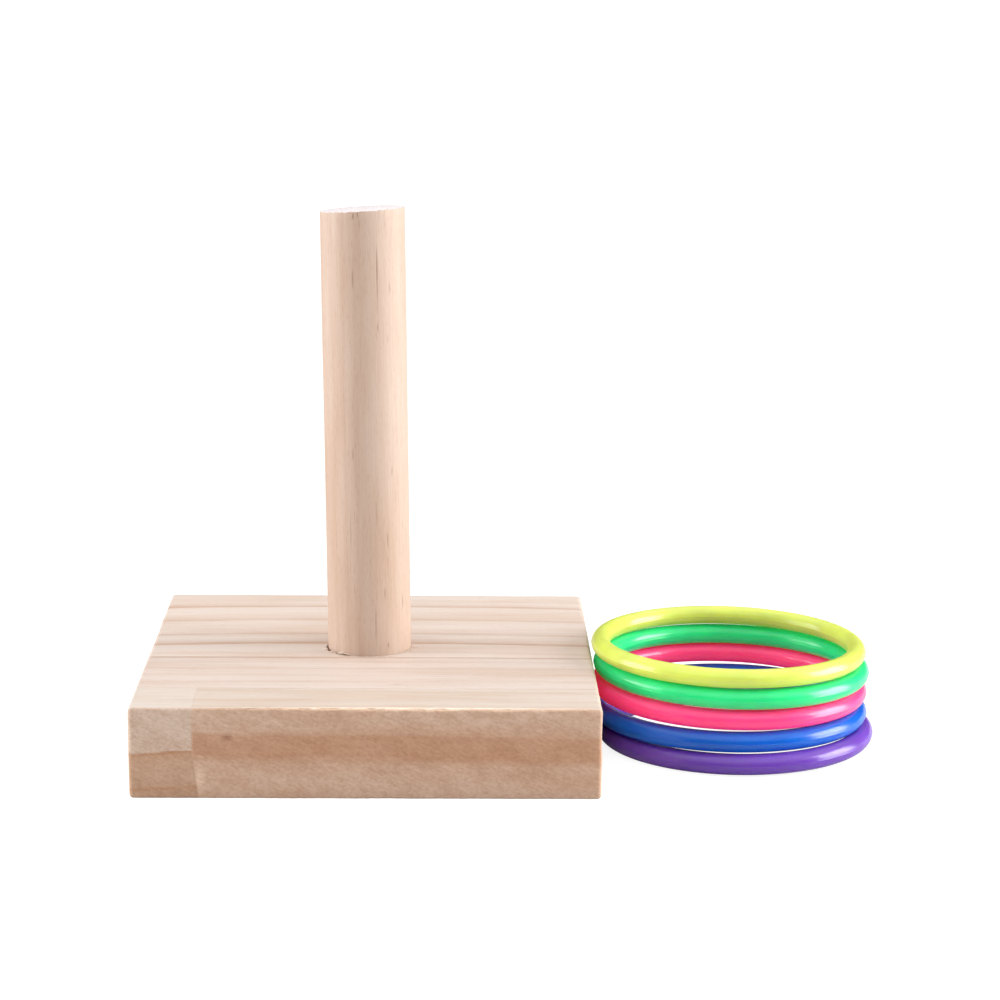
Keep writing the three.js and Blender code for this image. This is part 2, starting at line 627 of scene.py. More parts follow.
def skin_sections(sections: list[list[Vector]]) -> tuple[list[Vector], list[list[int]]]:
    """Join closed sections of equal length into a capped tube.

    Args:
        sections: rings of points, first end to last end, turning anticlockwise seen from the last.

    Returns:
        The points and the faces.
    """
    count = len(sections[0])
    points = [p for section in sections for p in section]
    faces = []
    for row in range(len(sections) - 1):
        for k in range(count):
            a, b = row * count + k, row * count + (k + 1) % count
            faces.append([a, b, b + count, a + count])
    faces.append(list(range(count))[::-1])
    last = (len(sections) - 1) * count
    faces.append([last + k for k in range(count)])
    return points, faces


def cut(piece: bpy.types.Object, cutter: bpy.types.Object) -> None:
    """Cut one object's shape out of another, keep the result in its mesh and shade it again.

    Args:
        piece: the object that is cut.
        cutter: the shape that is taken away.
    """
    step = piece.modifiers.new("hole", "BOOLEAN")
    step.operation = "DIFFERENCE"
    step.solver = "EXACT"
    step.object = cutter
    bpy.context.view_layer.update()
    shaped = bpy.data.meshes.new_from_object(piece.evaluated_get(bpy.context.evaluated_depsgraph_get()))
    piece.modifiers.clear()
    piece.data = shaped
    shaped.shade_smooth()
    shaped.set_sharp_from_angle(angle=math.radians(CREASE))


# The block


class Side(Enum):
    """A face of a stave that isn't glued to another."""

    BACK = "back"
    FRONT = "front"
    LEFT = "left"
    RIGHT = "right"


@dataclass(frozen=True)
class Chip:
    """A splinter gone from the top front edge: its place along X, half length and depth."""

    at: float
    half: float
    depth: float


@dataclass
class Stave:
    """One glued board of the block, swept along X with worn edges.

    Attributes:
        node: the CAD node it stands for.
        finish: its wood.
        open_sides: the faces that aren't glued.
        slanted_end: the side whose end follows the end joint, or None.
        chips: splinters gone from the top front edge.
        ease: how far the long edges are rounded, on average.
        least_ease: how far they are rounded at least.
        glued_ease: how far the edges at a glue line are.
        end_ease: how far the free ends are rounded.
        end_wobble: how far the saw left them from flat.
        end_fade: how far from the end that fades away.
        joint_slant: how far the end joint leans to the right below its middle.
        station_gap: distance between the sections.
    """

    node: str
    finish: PineFinish
    open_sides: frozenset[Side]
    slanted_end: Side | None = None
    chips: tuple[Chip, ...] = ()
    ease: float = 0.42
    least_ease: float = 0.12
    glued_ease: float = 0.03
    end_ease: float = 0.95
    end_wobble: float = 0.14
    end_fade: float = 2.5
    joint_slant: float = 1.3
    station_gap: float = 0.5

    CORNER_STEPS = 4
    FACE_STEPS = (10, 8)

    def worn(self, x: float, edge: int) -> float:
        """Work out how far an edge is rounded at one place.

        Args:
            x: place along the stave.
            edge: the edge's number, in the order of the section's corners.

        Returns:
            The radius.
        """
        wear, nicks = ripple(x / 7.0, edge * 7.3), ripple(x / 1.3, edge * 3.1)
        radius = self.ease * (1 + 0.5 * wear + 0.4 * nicks)
        top_front = 3
        if edge == top_front:
            for chip in self.chips:
                share = 1 - abs(x - chip.at) / chip.half
                radius += chip.depth * math.sqrt(share) if share > 0 else 0.0
        return max(radius, self.least_ease)

    def section(self, x: float, inset: float) -> list[tuple[float, float]]:
        """Make the stave's outline at one place along its length.

        Args:
            x: place along the stave.
            inset: how far the free faces are drawn in, as near a rounded end.

        Returns:
            Points (y, z), anticlockwise seen from +X.
        """
        low, high = corners(self.node)
        front_open, back_open = Side.FRONT in self.open_sides, Side.BACK in self.open_sides
        near = low.y + (inset if front_open else 0)
        far = high.y - (inset if back_open else 0)
        foot, top = low.z + inset, high.z - inset
        edges = [(near, foot, front_open, math.pi), (far, foot, back_open, 1.5 * math.pi),
                 (far, top, back_open, 0.0), (near, top, front_open, 0.5 * math.pi)]
        points: list[tuple[float, float]] = []
        for edge, (y, z, is_open, start) in enumerate(edges):
            radius = max(self.worn(x, edge) - inset, 0.05) if is_open else self.glued_ease
            centre_y = y + radius * (1 if y == near else -1)
            centre_z = z + radius * (1 if z == foot else -1)
            for step in range(self.CORNER_STEPS + 1):
                angle = start + 0.5 * math.pi * step / self.CORNER_STEPS
                points.append((centre_y + radius * math.cos(angle), centre_z + radius * math.sin(angle)))
            steps = self.FACE_STEPS[edge % 2]
            following = edges[(edge + 1) % 4]
            for step in range(1, steps):
                share = step / steps
                points.append((y + (following[0] - y) * share, z + (following[1] - z) * share))
        return points

    def stations(self, start: float, end: float) -> list[tuple[float, float]]:
        """List the places along X and how far the section is drawn in at each.

        Args:
            start: the stave's left end.
            end: its right end.

        Returns:
            Places and insets, from left to right.
        """
        ease = self.end_ease
        turns = (0.0, 0.35, 0.7, 1.05, 1.3)
        rounding = [(ease * (1 - math.cos(turn)), ease * (1 - math.sin(turn))) for turn in turns]
        count = max(2, int((end - start - 2 * ease) / self.station_gap))
        inner = [(start + ease + (end - start - 2 * ease) * k / count, 0.0) for k in range(count + 1)]
        first, last = [(start, 0.0)], [(end, 0.0)]
        if Side.LEFT in self.open_sides:
            first = [(start + off, inset) for off, inset in rounding]
        if Side.RIGHT in self.open_sides:
            last = [(end - off, inset) for off, inset in reversed(rounding)]
        return first + inner + last

    def end_shift(self, place: tuple[float, float, float], start: float, end: float) -> float:
        """Work out how far the saw left a free end from flat: hard summer wood stands proud.

        Args:
            place: a point on the stave.
            start: the stave's left end.
            end: its right end.

        Returns:
            How far the point moves along X.
        """
        x, y, z = place
        shift = 0.0
        if Side.LEFT in self.open_sides and x < start + self.end_fade:
            rough = 0.7 + ripple(y / 2.1, z / 6.0, 3.0)
            shift += self.end_wobble * rough * (1 - smooth_step(x, start, start + self.end_fade))
        if Side.RIGHT in self.open_sides and x > end - self.end_fade:
            rough = 0.7 + ripple(y / 2.4, z / 6.0, 8.0)
            shift -= self.end_wobble * rough * smooth_step(x, end - self.end_fade, end)
        return shift

    def joint_shift(self, z: float, thickness: float) -> float:
        """Return how far the end joint leans to the right at a height."""
        return self.joint_slant * max(0.0, 1 - z / (0.5 * thickness))

    def build(self) -> bpy.types.Object:
        """Sweep the stave and give it its wood.

        Returns:
            The stave.
        """
        low, high = corners(self.node)
        start = low.x
        end = high.x - (self.joint_slant if self.slanted_end is Side.RIGHT else 0)
        sections = []
        for x, inset in self.stations(start, end):
            ring = []
            for y, z in self.section(x, inset):
                shift = self.end_shift((x, y, z), start, end)
                if self.slanted_end:
                    far = start if self.slanted_end is Side.RIGHT else end
                    shift += self.joint_shift(z, high.z) * abs(x - far) / (end - start)
                ring.append(Vector((x + shift, y, z)) * MM)
            sections.append(ring)
        points, faces = skin_sections(sections)
        piece = make_piece(self.node + "_wood", points, faces, self.finish.build())
        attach(piece, "base")
        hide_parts(self.node)
        return piece


@dataclass
class PegHole:
    """The drilled hole, with a torn rim.

    Attributes:
        matrix: the peg's place and lean.
        radius: the drilled radius.
        depth: how deep it goes.
        off_centre: how far the peg stands off its middle along X.
        tears: bits torn out of the rim: angle in degrees, half width in degrees, size.
        levels: heights of the cut's sections and the share of the tears at each.
    """

    matrix: Matrix
    radius: float = 9.52
    depth: float = 15.0
    off_centre: float = -0.1
    tears: tuple[tuple[float, float, float], ...] = (
        (205.0, 11.0, 0.7), (188.0, 5.0, 0.5), (224.0, 6.0, 0.5), (241.0, 8.0, 0.6), (318.0, 8.0, 0.2),
        (40.0, 9.0, 0.3), (120.0, 12.0, 0.5))
    levels: tuple[tuple[float, float], ...] = (
        (-1.4, 0.0), (-0.7, 0.12), (-0.3, 0.5), (0.02, 1.0), (2.0, 1.0))

    STEPS = 128

    def lip(self, angle: float) -> float:
        """Work out how far the rim is torn back.

        Args:
            angle: bearing from the hole's middle, in radians.

        Returns:
            How far it goes out from the drilled radius.
        """
        size = 0.08 + 0.06 * ripple(math.cos(angle) * 9, math.sin(angle) * 9)
        for middle, half, depth in self.tears:
            off = abs((math.degrees(angle) - middle + 180) % 360 - 180) / half
            if off < 1:
                size += depth * (1 - off * off)
        return size

    def cutter(self) -> bpy.types.Object:
        """Make the shape that is cut away.

        Returns:
            A solid to cut with, not shown.
        """
        sections = []
        for height, share in ((-self.depth, 0.0), *self.levels):
            ring = []
            for k in range(self.STEPS):
                angle = 2 * math.pi * k / self.STEPS
                radius = self.radius + share * self.lip(angle)
                x, y = self.off_centre + radius * math.cos(angle), radius * math.sin(angle)
                ring.append(self.matrix @ (Vector((x, y, height)) * MM))
            sections.append(ring)
        points, faces = skin_sections(sections)
        mesh = bpy.data.meshes.new("hole_cutter")
        mesh.from_pydata([tuple(p) for p in points], [], faces)
        return add_object("hole_cutter", mesh)


@dataclass
class TornFibres:
    """Slivers of wood that stand up from an edge: thin ribbons that taper to a point.

    Attributes:
        name: the piece's name.
        body: the body it rides on.
        slot: the record's material slot; not used.
        material: what it is made of.
        slivers: root point, way it runs, length, width and lift.
        matrix: from the slivers' axes to the scene's.
    """

    name: str
    body: str
    slot: str
    material: bpy.types.Material
    slivers: list[tuple[Vector, Vector, float, float, float]]
    matrix: Matrix = field(default_factory=Matrix)

    STEPS = 7

    def build(self) -> bpy.types.Object:
        """Make every sliver as a small closed solid in one mesh.

        Returns:
            The slivers.
        """
        points: list[Vector] = []
        faces: list[list[int]] = []
        for root, way, length, width, lift in self.slivers:
            way = way.normalized()
            beside = way.cross(Vector((0, 0, 1))).normalized()
            over = beside.cross(way).normalized()
            sections = []
            for k in range(self.STEPS + 1):
                share = k / self.STEPS
                rise = lift * math.sin(math.pi * (0.15 + 0.6 * share))
                middle = root + way * (length * share) + over * rise
                half = 0.5 * width * (1 - 0.92 * share) + 0.01
                thick = 0.35 * half + 0.015
                sections.append([self.matrix @ ((middle + beside * (half * c) + over * (thick * s)) * MM)
                                 for c, s in ((1, 0), (0, 1), (-1, 0), (0, -1))])
            own_points, own_faces = skin_sections(sections)
            shift = len(points)
            points += own_points
            faces += [[n + shift for n in f] for f in own_faces]
        piece = make_piece(self.name, points, faces, self.material, crease=60)
        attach(piece, self.body)
        return piece


@dataclass
class Block:
    """The square block: four staves, the peg's hole and the torn fibres round it.

    Attributes:
        peg_matrix: the peg's place and lean.
        early: sRGB hex colour of the rear stave's spring wood.
        late: sRGB hex colour of the rear and middle staves' summer wood.
    """

    peg_matrix: Matrix
    early: str = "d3c5bb"
    late: str = "b18a6e"

    def rings(self, pith: tuple[float, float], *marks: tuple[float, ...]) -> tuple[GrowthLine, ...]:
        """Turn lines on the top face to distances from the pith.

        Args:
            pith: the pith's y and z.
            marks: for each line, its distance from the block's back edge, its fade and its strength,
                and where it isn't sharp, how far it takes to recover.

        Returns:
            The lines in order of distance.
        """
        corner = corners("rear_stave")[1]
        found = []
        for mark, *rest in marks:
            found.append(GrowthLine(math.hypot(corner.y - mark - pith[0], corner.z - pith[1]), *rest))
        return tuple(sorted(found, key=lambda line: line.at))

    def rear(self) -> Stave:
        """Describe the rear stave, with wide rings.

        Returns:
            The stave, not built yet.
        """
        pith = (95.0, -12.0)
        lines = self.rings(pith, (5.6, 1.5, 0.2), (11.6, 3.6, 0.64, 0.9), (24.3, 3.4, 0.42, 0.9),
                           (37.0, 3.6, 0.44, 1.2), (45.8, 4.6, 0.74, 0.9), (54.0, 2.5, 0.2, 0.8))
        finish = PineFinish("sanded_pine_rear", Grain.ALONG_X, (0.0, *pith), lines, self.early, self.late,
                            bow=-2.0, wander=0.36)
        return Stave("rear_stave", finish, frozenset({Side.BACK, Side.LEFT, Side.RIGHT}))

    def middle(self) -> Stave:
        """Describe the middle stave, with close, faint rings.

        Returns:
            The stave, not built yet.
        """
        pith = (62.0, -30.0)
        lines = self.rings(pith, (58.6, 1.4, 0.6, 0.7), (62.6, 2.0, 0.25), (68.0, 2.2, 0.35, 0.7),
                           (73.0, 1.8, 0.2), (78.4, 2.0, 0.28))
        finish = PineFinish("sanded_pine_middle", Grain.ALONG_X, (0.0, *pith), lines, "cfc1b8", self.late,
                            bow=-0.4, wander=0.4, fleck_strength=0.35)
        return Stave("middle_stave", finish, frozenset({Side.LEFT, Side.RIGHT}))

    def front_long(self) -> Stave:
        """Describe the long length of the front stave, whose face is as the saw left it.

        Returns:
            The stave, not built yet.
        """
        pith = (-10.0, 75.0)
        low, high = corners("front_stave_long")
        face, joint = low.y, low.x
        lines = (GrowthLine(61.2, 1.0, 0.3), GrowthLine(64.6, 1.2, 0.15), GrowthLine(67.6, 1.6, 0.3),
                 GrowthLine(73.5, 3.0, 0.58, 0.2, 0.42, left=0.58),
                 GrowthLine(76.9, 2.2, 0.66, 1.7, 0.9, left=0.28, before=0.58))
        patches = (Patch((-29.2, face, 13.4), (2.4, 2.0, 1.2), 0.5, "a8745a"),
                   Patch((joint + 1.6, face, 4.5), (1.6, 3.0, 6.0), 0.6, "e0d0c2", covers=True),
                   Patch((joint + 0.1, face, 14.5), (0.35, 3.0, 8.0), 0.6, "d3c0b0", covers=True),
                   # A pale cream band along the top front edge. It is partly pale torn fibre and partly a
                   # painted highlight where the rounded edge catches light from above.
                   Patch((10.0, face + 0.5, high.z), (60.0, 1.3, 0.9), 0.85, "f2e4d3", covers=True))
        finish = PineFinish("sawn_pine_front_long", Grain.ALONG_X, (0.0, *pith), lines, "ccbfb4", "b38a64",
                            wander=0.5, drift=-0.7, sawn=SawnFace(face, "ffecdf"),
                            glue=(high.y, 0.8), patches=patches)
        chips = ((-24.0, 1.0, 0.3), (-12.0, 1.8, 0.35), (3.0, 2.6, 0.5), (7.5, 1.2, 0.3), (15.5, 3.0, 0.45),
                 (29.0, 4.5, 0.4), (37.5, 1.5, 0.35), (44.0, 2.0, 0.3), (50.0, 3.6, 0.7))
        return Stave("front_stave_long", finish, frozenset({Side.FRONT, Side.RIGHT}),
                     slanted_end=Side.LEFT, chips=tuple(Chip(*chip) for chip in chips))

    def front_short(self) -> Stave:
        """Describe the short length of the front stave, from a different board.

        Returns:
            The stave, not built yet.
        """
        pith = (-48.0, -62.0)
        low, high = corners("front_stave_short")
        lines = (GrowthLine(65.9, 1.8, 0.74, 0.6, 0.8, left=0.5, before=0.5),
                 GrowthLine(73.65, 1.3, 0.92, 0.35, 0.7, before=0.62), GrowthLine(86.0, 2.0, 0.15))
        joint_pale = Patch((high.x - 0.8, low.y, 14.5), (0.9, 3.0, 6.5), 0.4, "ddd8d2", covers=True)
        finish = PineFinish("sawn_pine_front_short", Grain.ALONG_X, (0.0, *pith), lines, "cdc2b8", "b0875f",
                            wander=0.5, drift=-2.0, sawn=SawnFace(low.y, "fff2ea"),
                            glue=(high.y, 0.25), patches=(joint_pale,))
        return Stave("front_stave_short", finish, frozenset({Side.FRONT, Side.LEFT}),
                     slanted_end=Side.RIGHT)

    def build(self) -> list[bpy.types.Object]:
        """Build the staves, drill the hole and add the torn fibres.

        Returns:
            The block's pieces.
        """
        cutter = PegHole(self.peg_matrix).cutter()
        pieces = []
        for stave in (self.rear(), self.middle(), self.front_long(), self.front_short()):
            piece = stave.build()
            if stave.node in ("rear_stave", "middle_stave"):
                cut(piece, cutter)
            pieces.append(piece)
        bpy.data.objects.remove(cutter)
        return [*pieces, self.splinters()]

    def splinters(self) -> bpy.types.Object:
        """Add the slivers at the hole's rim and along the top front edge.

        Returns:
            The slivers.
        """
        low, high = corners("front_stave_long")
        top, front = high.z, low.y
        centre, rim = self.peg_matrix.translation / MM, 10.1
        slivers = []
        for angle, run, length, width, lift in ((226, 352, 3.6, 0.5, 0.5), (228, 318, 4.4, 0.7, 0.55),
                                                (214, 262, 2.0, 0.45, 0.4), (200, 235, 1.6, 0.4, 0.35),
                                                (252, 346, 2.8, 0.3, 0.08), (265, 358, 2.6, 0.3, 0.08),
                                                (279, 12, 2.4, 0.3, 0.08), (292, 24, 2.0, 0.25, 0.06),
                                                (338, 290, 1.5, 0.35, 0.3), (350, 20, 1.8, 0.4, 0.4)):
            slivers.append((centre + heading(angle) * rim, heading(run), length, width, lift))
        draw = random.Random(7)
        for _ in range(26):
            x = -30 + 76 * draw.random()
            root = Vector((x, front + 0.35 + 0.25 * draw.random(), top - 0.04))
            way = Vector((draw.choice((-1, 1)), -0.05 * draw.random(), 0.02))
            slivers.append((root, way, 1.0 + 2.4 * draw.random(), 0.16 + 0.16 * draw.random(), 0.10))
        wood = PineFinish("torn_pine_fibre", Grain.ALONG_X, (0, 90, -20), (GrowthLine(400, 2, 0.1),),
                          "e6d8c6", self.late, end_cover=0.0).build()
        return TornFibres("block_splinters", "base", "pine", wood, slivers).build()


# The peg


@dataclass
class Peg:
    """The round peg, cut a little out of square at the top.

    Attributes:
        lean: how far it leans to the left, in degrees.
        in_hole: how far it goes down into the block.
        cut_right: rise of its cut end towards the right, in degrees.
        cut_front: rise of its cut end towards the front, in degrees.
        ease: how far its ends are rounded.
    """

    lean: float = 0.95
    in_hole: float = 14.6
    cut_right: float = 2.7
    cut_front: float = 2.2
    ease: float = 0.18

    STEPS = 160
    LEVELS = 90

    def matrix(self) -> Matrix:
        """Place the peg: its axis is its own Z, which starts at the block's top.

        Returns:
            The peg's place and lean.
        """
        low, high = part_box("peg")
        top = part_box("rear_stave")[1].z
        turn = math.radians(self.lean)
        length = self.length() * MM
        middle_x = low.x + (high.x - low.x) / 2
        x = middle_x + math.sin(turn) * (length / 2 - self.in_hole * MM)
        return Matrix.Translation((x, (low.y + high.y) / 2, top)) @ Matrix.Rotation(-turn, 4, "Y")

    def radius(self) -> float:
        """Return the peg's radius in millimetres."""
        low, high = corners("peg")
        return (high.y - low.y) / 2

    def length(self) -> float:
        """Work out the peg's whole length.

        Returns:
            The length in millimetres.
        """
        low, high = corners("peg")
        turn = math.radians(self.lean)
        return (high.z - low.z - 2 * self.radius() * math.sin(turn)) / math.cos(turn)

    def build(self) -> list[bpy.types.Object]:
        """Turn the peg, cut its end and tear the rim a little.

        Returns:
            The peg and its slivers.
        """
        radius, end = self.radius(), self.length() - self.in_hole
        rise = (math.tan(math.radians(self.cut_right)), -math.tan(math.radians(self.cut_front)))
        foot, head = 1 - self.in_hole, end - 1.2
        levels = [(-self.in_hole, self.ease), (-self.in_hole + self.ease, 0.0)]
        levels += [(foot + (head - foot) * k / self.LEVELS, 0.0) for k in range(self.LEVELS + 1)]
        levels += [(end - self.ease, 0.0), (end - 0.3 * self.ease, 0.3 * self.ease), (end, self.ease)]
        sections = []
        for height, inset in levels:
            ring = []
            near_top = smooth_step(height, end - 3.0, end)
            for k in range(self.STEPS):
                angle = 2 * math.pi * k / self.STEPS
                c, s = math.cos(angle), math.sin(angle)
                uneven = 0.05 * ripple(c * 1.5, s * 1.5, height / 30)
                planed = 0.02 * ripple(c * 14, s * 14, height / 25)
                ragged = 0.12 * ripple(c * 22, s * 22, 5.0) * near_top
                r = radius - inset + (uneven + planed) - 0.04
                tilt = (rise[0] * c + rise[1] * s) * r * near_top
                ring.append(Vector((r * c, r * s, height + tilt + ragged)) * MM)
            sections.append(ring)
        points, faces = skin_sections(sections)
        piece = make_piece("peg_wood", points, faces, self.finish().build(), crease=40)
        piece.matrix_world = self.matrix()
        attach(piece, "peg")
        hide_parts("peg")
        return [piece, self.splinters(radius, end, rise)]

    def splinters(self, radius: float, end: float, rise: tuple[float, float]) -> bpy.types.Object:
        """Add the slivers that the saw pulled at the rim of the cut end.

        Args:
            radius: the peg's radius.
            end: height of the cut end in the peg's axes.
            rise: the cut's slopes along X and Y.

        Returns:
            The slivers.
        """
        draw = random.Random(3)
        slivers = []
        for angle in (222, 231, 238, 246, 252, 258, 266, 275, 283, 292, 305, 330):
            way = heading(angle)
            height = end + (rise[0] * way.x + rise[1] * way.y) * radius - 0.1
            root = way * (radius - 0.12) + Vector((0, 0, height))
            side = Vector((-way.y, way.x, 0)) * draw.choice((-1, 1)) + Vector((0, 0, 0.5 * draw.random()))
            slivers.append((root, side, 0.4 + 0.7 * draw.random(), 0.22, 0.05))
        wood = PineFinish("torn_peg_fibre", Grain.ALONG_Z, (40, 30, 0), (GrowthLine(400, 2, 0.1),),
                          "e6d2c0", "b98f74", end_cover=0.0).build()
        return TornFibres("peg_splinters", "peg", "peg_wood", wood, slivers, matrix=self.matrix()).build()

    def streaks(self) -> tuple[Patch, ...]:
        """List the short resin streaks.

        Returns:
            The streaks, on the peg's skin.
        """
        # Bearing from the front in degrees, height, half length and strength.
        marks = ((20, 86, 13.0, 0.50), (20, 74.5, 1.6, 0.35), (-13, 85, 4.2, 0.38), (39, 83, 2.3, 0.32),
                 (34, 71.7, 1.6, 0.2), (-17, 46, 2.3, 0.32), (38, 42, 2.0, 0.3), (14, 32.5, 4.5, 0.2),
                 (29, 26.5, 3.0, 0.32), (58, 29, 2.0, 0.2), (24, 14.3, 2.4, 0.42), (55, 11.7, 2.7, 0.38),
                 (10.5, 7.5, 7.0, 0.28), (28, 2.3, 0.8, 0.4), (-22, 29, 8.0, 0.2), (-11, 98.9, 1.3, 0.6),
                 (-5, 99.3, 1.0, 0.5), (-3, 97.5, 2.6, 0.2))
        found = []
        for bearing, height, half, strength in marks:
            skin = heading(bearing - 90) * self.radius()
            found.append(Patch((skin.x, skin.y, height), (0.28, 0.8, half), strength))
        return tuple(found)

    def finish(self) -> PineFinish:
        """Describe the peg's wood: straight rings that run its whole length.

        Returns:
            The finish.
        """
        pith = (-26.0, 14.0)
        marks = ((19.0, 2.4, 0.35), (23.5, 1.5, 0.2), (28.0, 2.6, 0.16, 1.0), (31.1, 2.6, 0.22, 1.4),
                 (33.5, 1.8, 0.24, 1.2), (37.3, 0.8, 0.14), (39.8, 1.5, 0.15))
        # The near-white end colour at 0.9 cover is a painted highlight of the cut end lit brightly from
        # above, in place of the end grain's own tan.
        return PineFinish("planed_pine_peg", Grain.ALONG_Z, (*pith, 0.0),
                          tuple(GrowthLine(*mark) for mark in marks), "c6af9f", "ac866c", half_length=70.0,
                          end_colour="ebe6ea", end_cover=0.9, patches=self.streaks(), wander=0.5,
                          fibre_strength=0.13, dash_strength=0.20)


# The rings


class Pigment(Enum):
    """The rings' colours: node, pigment, and the colour and strength of their painted glow."""

    # The last two values are a painted glow: constant emission standing in for the fluorescent pigments'
    # light, which keeps the shaded side bright.
    PURPLE = ("ring_purple", "7346b2", "000000", 0.0)
    BLUE = ("ring_blue", "0264ca", "000000", 0.0)
    PINK = ("ring_pink", "f84a8e", "ff1a3c", 0.26)
    GREEN = ("ring_green", "2cdc8c", "00c83c", 0.10)
    YELLOW = ("ring_yellow", "d2de66", "d4dc20", 0.03)


@dataclass
class Ring:
    """One moulded ring, lying in the pile.

    Attributes:
        pigment: which ring it is and its colour.
        tilt: how far it rises towards +X and +Y, in millimetres over its radius.
        warp: size of its potato-chip bend.
        warp_turn: where the bend is highest, in degrees.
        drop: how far it sits below the CAD ring's middle.
        shift: how far it lies to the right of the CAD ring.
        slimmer: how much thinner its tube's radius is.
        ridge: height of the two parting lines.
        ridge_width: how far they reach round the tube, in degrees.
    """

    pigment: Pigment
    tilt: tuple[float, float]
    warp: float = 0.0
    warp_turn: float = 0.0
    drop: float = 0.0
    shift: float = 0.0
    slimmer: float = 0.0
    ridge: float = 0.05
    ridge_width: float = 6.0

    AROUND = 288

    def tube_angles(self) -> list[float]:
        """List the angles round the tube, closer together at the two parting lines.

        Returns:
            The angles in radians.
        """
        even = [6.0 * k for k in range(60)]
        close = [base + off for base in (0, 180) for off in (-4, -2, 2, 4)]
        return [math.radians(a) for a in sorted(set(even + [a % 360 for a in close]))]

    def build(self) -> bpy.types.Object:
        """Make the ring with its parting lines.

        Returns:
            The ring.
        """
        node, colour, painted_neon_glow, painted_neon_glow_strength = self.pigment.value
        low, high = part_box(node)
        centre = (low + high) / 2
        tube = (high.z - low.z) / 2 / MM
        lowest = (low.z - centre.z) / MM
        radius = (high.x - low.x) / 2 / MM - tube
        on_table = low.z < CAD_BOX[0].z + 0.1 * MM
        angles = self.tube_angles()
        points = []
        for k in range(self.AROUND):
            turn = 2 * math.pi * k / self.AROUND
            c, s = math.cos(turn), math.sin(turn)
            rise = self.tilt[0] * c + self.tilt[1] * s - self.drop
            rise += self.warp * math.cos(2 * (turn - math.radians(self.warp_turn)))
            for angle in angles:
                off = min(abs(math.degrees(angle) - base) for base in (0, 180, 360))
                skin = tube - self.slimmer + self.ridge * max(0.0, 1 - off / self.ridge_width)
                reach = radius + skin * math.cos(angle)
                height = skin * math.sin(angle) + rise
                height = max(height, lowest) if on_table else height
                points.append(Vector((reach * c, reach * s, height)) * MM)
        count = len(angles)
        faces = []
        for k in range(self.AROUND):
            here, there = k * count, (k + 1) % self.AROUND * count
            for n in range(count):
                following = (n + 1) % count
                faces.append([here + n, there + n, there + following, here + following])
        name = f"moulded_polyethylene_{self.pigment.name.lower()}"
        material = MouldedPlastic(name, colour, painted_neon_glow, painted_neon_glow_strength, shift=centre.z / MM * 9).build()
        piece = make_piece(node + "_moulded", points, faces, material, crease=60)
        piece.location = centre + Vector((self.shift * MM, 0, 0))
        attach(piece, node)
        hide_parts(node)
        return piece


@dataclass
class RingPile:
    """The five rings."""

    rings: tuple[Ring, ...] = (
        Ring(Pigment.PURPLE, (0.30, -0.16), warp=0.04, warp_turn=30, drop=-0.12, shift=0.35, slimmer=-0.07),
        Ring(Pigment.BLUE, (0.05, -0.20), warp=0.05, warp_turn=70, drop=0.24, shift=-0.22, slimmer=-0.05),
        Ring(Pigment.PINK, (-0.42, -0.06), warp=0.05, drop=0.13, shift=-0.28),
        Ring(Pigment.GREEN, (-0.45, -0.15), warp=0.03, warp_turn=20, drop=0.08, shift=-0.1),
        Ring(Pigment.YELLOW, (-0.38, -0.18), warp=0.03, warp_turn=60, drop=0.15, shift=-0.62, slimmer=0.16),
    )

    def build(self) -> list[bpy.types.Object]:
        """Build every ring, lowest first, and return them."""
        return [ring.build() for ring in self.rings]


# Studio


@dataclass(frozen=True)
class Softbox:
    """A rectangular soft light that faces the set.

    Attributes:
        name: what to call it.
        azimuth: its bearing from the front, in degrees, to the right.
        height: angle above the table, in degrees.
        distance: from the middle of the set, in metres.
        width: in metres.
        tall: in metres.
        power: in watts.
    """

    name: str
    azimuth: float
    height: float
    distance: float
    width: float
    tall: float
    power: float

    def build(self, target: Vector) -> None:
        """Hang the light.

        Args:
            target: the point that it faces.
        """
        turn, lift = math.radians(self.azimuth), math.radians(self.height)
        away = Vector((math.sin(turn) * math.cos(lift), -math.cos(turn) * math.cos(lift), math.sin(lift)))
        lamp = bpy.data.lights.new(self.name, "AREA")
        lamp.shape = "RECTANGLE"
        lamp.size, lamp.size_y, lamp.energy = self.width, self.tall, self.power
        hung = add_object(self.name, lamp)
        hung.location = target + away * self.distance
        hung.rotation_euler = away.to_track_quat("Z", "Y").to_euler()


